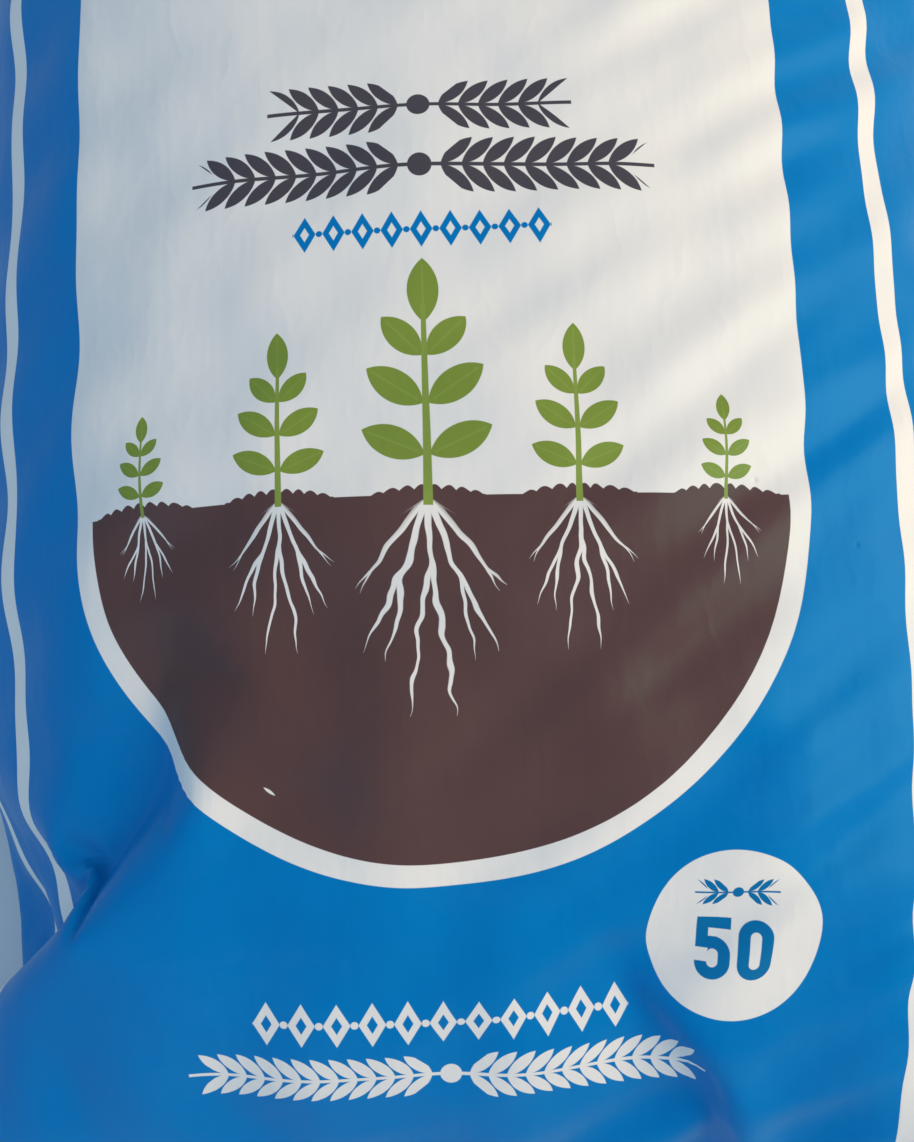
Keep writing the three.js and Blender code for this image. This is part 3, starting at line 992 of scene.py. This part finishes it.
@dataclass(frozen=True)
class FilmFinish:
    """Printed glossy polythene film over a lumpy mix. The print and the relief are in millimetres."""

    name: str = "printed_film"
    inks: Inks = Inks()
    roughness: float = 0.28
    scuff_roughness: float = 0.16
    dust_from: float = 0.45
    dust_share: float = 0.035
    refraction: float = 1.5
    specular: float = 0.13
    gloss_tint: Colour = (0.1, 0.8, 1.0, 1.0)
    coat: float = 0.02
    coat_roughness: float = 0.24
    titles: tuple[Band, Band] = (Band((0.0, 520.5), 67.0, 11.5), Band((0.0, 493.0), 101.0, 12.0))
    subtitle: Band = Band((0.0, 465.0), 53.0, 8.0)
    foot_row: Band = Band((4.0, 140.0), 76.8, 9.5)
    foot_band: Band = Band((7.0, 114.5), 110.0, 10.5)
    number_drop: float = 6.0
    jewel: Band = Band((0.0, 18.0), 19.0, 5.5)
    sprig: Sprig = Sprig()
    nick: LeafShape = LeafShape((-68.0, 236.7), -36.0, 5.6, 0.6)
    dents: tuple[tuple[float, float], ...] = ((386.7, 358.3), (428.4, 331.9))
    dent_radius: float = 2.4
    dent_depth: float = 0.5
    root_wander: Grain = Grain(70.0, 70.0, 1.0)
    lumps: Grain = Grain(38.0, 30.0, 1.5)
    lump_height: float = 0.32
    streaks: Grain = Grain(190.0, 7.0, 1.0)
    streak_height: float = 0.035
    crinkles: Grain = Grain(24.0, 15.0, 3.0, 0.6)
    crinkle_height: float = 0.10
    crinkle_narrowness: float = 5.0
    weld_rib_height: float = 0.10
    weld_rib_spacing: float = 1.6
    weld_edge: float = 0.6
    scuffs: Grain = Grain(9.0, 14.0, 5.0, 0.62)

    def print_group(self, plan: FilmPlan) -> bpy.types.NodeTree:
        """Build the group that draws the print.

        Args:
            plan: How the film is cut and printed.

        Returns:
            The node group, from the film's coordinates to its colour.
        """
        cut, layout, inks = plan.cut, plan.layout, self.inks
        group = NodeGroup("film_print")
        film = group.takes("Film")
        around, along = film_axes(film)
        width, middle = cut.width / MM, layout.panel_middle(cut) / MM
        noise = self.root_wander.over(film)
        plate = PrintPlate(around - middle, along, noise)
        half_stripe = layout.stripe / 2 / MM
        head = layout.field_head(cut) / MM
        radius = layout.panel_width(cut) / 2 / MM

        from_left = around.math("PINGPONG", width)
        side = from_left.least(width - from_left)
        left = abs(around - (layout.left_margin / MM + half_stripe))
        right = abs(around - (width - layout.right_margin / MM - half_stripe))
        panel = plate.tub(radius, head).most(along - (cut.length - layout.head_margin) / MM)
        soil = plate.tub(radius - layout.border / MM, head).most(plate.field_top(head, self.sprig))
        stem, leaf, root = plate.sprigs(head, self.sprig)
        nick, _ = plate.leaf(plate.across, along, self.nick)
        upper, lower = (plate.laurel(band) for band in self.titles)
        disc_across = plate.across - (width - layout.disc_from_right / MM - middle)
        badge = PrintPlate(disc_across, along - layout.disc_from_foot / MM, noise)
        disc = badge.across.span(badge.along) - layout.disc_radius / MM
        layers = (
            (side.least(left, right) - half_stripe, inks.white),
            (panel, inks.white),
            (soil, inks.brown),
            (root.least(nick), inks.white),
            (leaf, inks.leaf),
            (stem, inks.stem),
            (upper.least(lower), inks.title),
            (plate.lozenges(self.subtitle), inks.blue),
            (disc.least(plate.lozenges(self.foot_row), plate.laurel(self.foot_band)), inks.white),
            (badge.digits(self.number_drop).least(badge.laurel(self.jewel)), inks.number),
        )
        colour = inks.blue
        for shape, ink in layers:
            colour = shape.inked().mixing(colour, ink)
        group.gives("Color", colour, "NodeSocketColor")
        return group.tree

    def relief_group(self, cut: FilmCut) -> bpy.types.NodeTree:
        """Build the group that puts lumps, creases and weld ribs into the film.

        Args:
            cut: Sizes of the film.

        Returns:
            The node group, from the film's coordinates to a height in metres and a scuff mask.
        """
        group = NodeGroup("film_relief")
        film = group.takes("Film")
        around, along = film_axes(film)
        crinkles = (1.0 - abs(self.crinkles.over(film)) * self.crinkle_narrowness).most(0.0)
        from_end = along.least(cut.length / MM - along)
        weld_middle = (cut.skirt + cut.seal / 2) / MM
        weld = (abs(from_end - weld_middle) - cut.seal / 2 / MM).inked(self.weld_edge)
        ribs = (along * (2 * math.pi / self.weld_rib_spacing)).math("SINE") * weld
        height = self.lumps.over(film) * self.lump_height + self.streaks.over(film) * self.streak_height
        height = height + crinkles * self.crinkle_height + ribs * self.weld_rib_height
        for dent_around, dent_along in self.dents:
            dent = (1.0 - (around - dent_around).span(along - dent_along) / self.dent_radius).most(0.0)
            height = height - dent * dent * self.dent_depth
        group.gives("Height", height * MM)
        group.gives("Scuffs", self.scuffs.over(film).math("MULTIPLY_ADD", 0.5, 0.5, clamp=True))
        return group.tree

    def material(self, plan: FilmPlan) -> bpy.types.Material:
        """Build the film's material.

        Args:
            plan: How the film is cut and printed.

        Returns:
            The material.
        """
        material = bpy.data.materials.new(self.name)
        material.use_nodes = True
        tree = material.node_tree
        shader = tree.nodes["Principled BSDF"]
        uniform = {
            "IOR": self.refraction,
            "Specular IOR Level": self.specular,
            "Specular Tint": self.gloss_tint,
            "Coat Weight": self.coat,
            "Coat Roughness": self.coat_roughness,
        }
        for name, value in uniform.items():
            connect(value, shader.inputs[name])
        place = tree.nodes.new("ShaderNodeUVMap")
        place.uv_map = "film"
        printed, relief = (tree.nodes.new("ShaderNodeGroup") for _ in range(2))
        for node, group in ((printed, self.print_group(plan)), (relief, self.relief_group(plan.cut))):
            node.node_tree = group
            tree.links.new(place.outputs[0], node.inputs["Film"])
        scuffs = Wire(tree, relief.outputs["Scuffs"])
        dusty = (scuffs - self.dust_from).math("MULTIPLY", self.dust_share, clamp=True)
        colour = dusty.mixing(Wire(tree, printed.outputs["Color"]), self.inks.dust)
        connect(colour, shader.inputs["Base Color"])
        roughness = scuffs.math("MULTIPLY_ADD", self.scuff_roughness, self.roughness)
        connect(roughness, shader.inputs["Roughness"])
        bump = tree.nodes.new("ShaderNodeBump")
        connect(1.0, bump.inputs["Distance"])
        connect(1.0, bump.inputs["Strength"])
        tree.links.new(relief.outputs["Height"], bump.inputs["Height"])
        tree.links.new(bump.outputs[0], shader.inputs["Normal"])
        return material


# The bag


@dataclass
class CompostBag:
    """The filled bag: one tube of printed film, sealed across both ends, with its mix inside."""

    plan: FilmPlan = FilmPlan()
    fill: Fill = Fill()
    fine_fill: Fill = Fill(depth=0.0922, lean_to_foot=-0.6, press_gain=0.004)
    finish: FilmFinish = FilmFinish()
    cell: float = 0.0145
    first_relax: tuple[int, int] = (420, 12)
    finer_relax: tuple[tuple[int, int], ...] = ((80, 8), (45, 6))
    fullness: float = 0.85
    sharp_angle: float = 62.0

    def shape(self) -> FilmTube:
        """Fill the flat tube and let it settle on a coarse grid, then on finer ones.

        Returns:
            The settled film.
        """
        tube = FilmTube.laid_flat(self.plan, self.fill, self.cell)
        tube.relax(*self.first_relax)
        for steps, passes in self.finer_relax:
            tube = tube.finer(self.fine_fill)
            tube.relax(steps, passes)
        LOG.info("film: %d x %d points, %.1f litres", tube.columns, tube.rows, tube.volume * 1000)
        return tube

    def mesh(self, tube: FilmTube) -> bpy.types.Mesh:
        """Make one closed mesh of the tube and the thin strip along each of its cut edges.

        Args:
            tube: The settled film.

        Returns:
            The mesh, with the flat film's coordinates as its UV map.
        """
        columns, side = tube.columns, tube.side
        vertices = tube.settled().reshape(-1, 3)
        column, row = np.meshgrid(np.arange(columns), np.arange(tube.rows - 1))
        after = (column + 1) % columns
        start, end = row * columns, (row + 1) * columns
        quads = np.stack([start + column, start + after, end + after, end + column], axis=-1).reshape(-1, 4)
        around = np.concatenate([tube.from_left, 2 * self.plan.cut.width - tube.from_left[-2::-1]])
        low, high = around[column], around[column + 1]
        foot, head = tube.from_foot[row], tube.from_foot[row + 1]
        places = np.stack([low, foot, high, foot, high, head, low, head], axis=-1).reshape(-1, 4, 2)
        faces = quads.tolist()
        uvs = places.tolist()
        for edge, turned in ((0, True), (tube.rows - 1, False)):
            for near in range(side):
                ring = [near, near + 1, columns - near - 1, (columns - near) % columns]
                spots = [(around[min(at, columns - at)], tube.from_foot[edge]) for at in ring]
                corners = list(dict(zip(ring, spots)).items())
                if turned:
                    corners.reverse()
                faces.append([edge * columns + at for at, _ in corners])
                uvs.append([list(spot) for _, spot in corners])
        mesh = bpy.data.meshes.new("bag_film")
        mesh.from_pydata(vertices.tolist(), [], faces)
        layer = mesh.uv_layers.new(name="film")
        layer.data.foreach_set("uv", [value for face in uvs for spot in face for value in spot])
        mesh.shade_smooth()
        mesh.set_sharp_from_angle(angle=math.radians(self.sharp_angle))
        mesh.validate()
        return mesh

    def build(self) -> bpy.types.Object:
        """Build the bag and dress it.

        Returns:
            The bag's object.
        """
        tube = self.shape()
        bag = bpy.data.objects.new("filled_bag", self.mesh(tube))
        bpy.context.scene.collection.objects.link(bag)
        bag.data.materials.append(self.finish.material(self.plan))
        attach(bag, "root")
        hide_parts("bag")
        return bag


# The studio


@dataclass(frozen=True)
class SoftLamp:
    """A round area lamp that faces the bag."""

    name: str
    place: tuple[float, float, float]
    target: tuple[float, float, float]
    size: float
    power: float
    colour: tuple[float, float, float]

    def build(self) -> None:
        """Hang the lamp and turn it to its target."""
        data = bpy.data.lights.new(self.name, "AREA")
        data.shape = "DISK"
        data.size = self.size
        data.energy = self.power
        data.color = self.colour
        lamp = bpy.data.objects.new(self.name, data)
        bpy.context.scene.collection.objects.link(lamp)
        back = np.array(self.place) - np.array(self.target)
        back /= np.linalg.norm(back)
        side = np.cross([0.0, 1.0, 0.0], back)
        side /= np.linalg.norm(side)
        turn = Matrix(np.stack([side, np.cross(back, side), back], axis=1))
        lamp.matrix_world = Matrix.Translation(self.place) @ turn.to_4x4()


@dataclass(frozen=True)
class ViewPoint:
    """The camera, in metres and degrees, with its lens in pixels of a frame of 914 x 1142.

    The sensor's height, in millimetres, only turns the lens into millimetres.
    """

    place: tuple[float, float, float] = (-0.0079, -0.2059, 0.6672)
    pitch: float = 8.49
    roll: float = -0.78
    focal: float = 1279.3
    frame_height: int = 1142
    sensor: float = 24.0
    nearest: float = 0.01

    def build(self) -> None:
        """Set up the camera and make it the scene's own."""
        data = bpy.data.cameras.new("camera")
        data.sensor_fit = "VERTICAL"
        data.sensor_height = self.sensor
        data.lens = self.sensor * self.focal / self.frame_height
        data.clip_start = self.nearest
        camera = bpy.data.objects.new("camera", data)
        bpy.context.scene.collection.objects.link(camera)
        pitch = Matrix.Rotation(math.radians(self.pitch), 4, "X")
        roll = Matrix.Rotation(math.radians(self.roll), 4, "Z")
        camera.matrix_world = Matrix.Translation(self.place) @ pitch @ roll
        bpy.context.scene.camera = camera


@dataclass
class Studio:
    """The floor, the light and the camera."""

    floor_size: float = 12.0
    floor_colour: Colour = srgb(226, 224, 221)
    floor_roughness: float = 0.8
    ambient: Colour = (0.45, 0.70, 1.0, 1.0)
    ambient_strength: float = 0.53
    beyond: Colour = (0.80, 0.82, 0.84, 1.0)
    camera: ViewPoint = ViewPoint()
    lamps: tuple[SoftLamp, ...] = (
        SoftLamp("key_lamp", (1.9, 0.0, 1.6), (0.0, 0.0, 0.1), 2.0, 66.0, (1.0, 0.79, 0.53)),
        SoftLamp("fill_lamp", (-1.6, -1.2, 1.5), (0.0, 0.0, 0.1), 2.0, 9.0, (0.6, 0.82, 1.0)),
    )

    def floor(self) -> None:
        """Lay the pale floor that the bag rests on."""
        half = self.floor_size / 2
        mesh = bpy.data.meshes.new("floor")
        corners = [(-half, -half, 0.0), (half, -half, 0.0), (half, half, 0.0), (-half, half, 0.0)]
        mesh.from_pydata(corners, [], [(0, 1, 2, 3)])
        floor = bpy.data.objects.new("floor", mesh)
        bpy.context.scene.collection.objects.link(floor)
        material = bpy.data.materials.new("floor_paint")
        material.use_nodes = True
        shader = material.node_tree.nodes["Principled BSDF"]
        connect(self.floor_colour, shader.inputs["Base Color"])
        connect(self.floor_roughness, shader.inputs["Roughness"])
        mesh.materials.append(material)

    def world(self) -> None:
        """Light the room softly from all round, with a plain pale view beyond the floor."""
        world = bpy.data.worlds.new("studio")
        world.use_nodes = True
        tree = world.node_tree
        rays = tree.nodes.new("ShaderNodeLightPath")
        kinds = ("Is Camera Ray", "Is Glossy Ray", "Is Transmission Ray")
        camera, glossy, through = (Wire(tree, rays.outputs[kind]) for kind in kinds)
        ambient = [value * self.ambient_strength for value in self.ambient[:3]]
        view = camera.most(glossy, through).mixing((*ambient, 1.0), self.beyond)
        connect(view, tree.nodes["Background"].inputs["Color"])
        bpy.context.scene.world = world

    def build(self) -> None:
        """Set up the studio."""
        self.floor()
        self.world()
        for lamp in self.lamps:
            lamp.build()
        self.camera.build()
        bpy.context.scene.view_settings.view_transform = "Standard"


def main() -> None:
    """Build the bag and the studio."""
    logging.basicConfig(level=logging.INFO, format="%(name)s: %(message)s")
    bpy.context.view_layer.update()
    bag = CompostBag().build()
    LOG.info("%s: %d faces", bag.name, len(bag.data.polygons))
    Studio().build()
    LOG.info("studio: floor, lamps and camera")


if __name__ == "__main__":
    main()
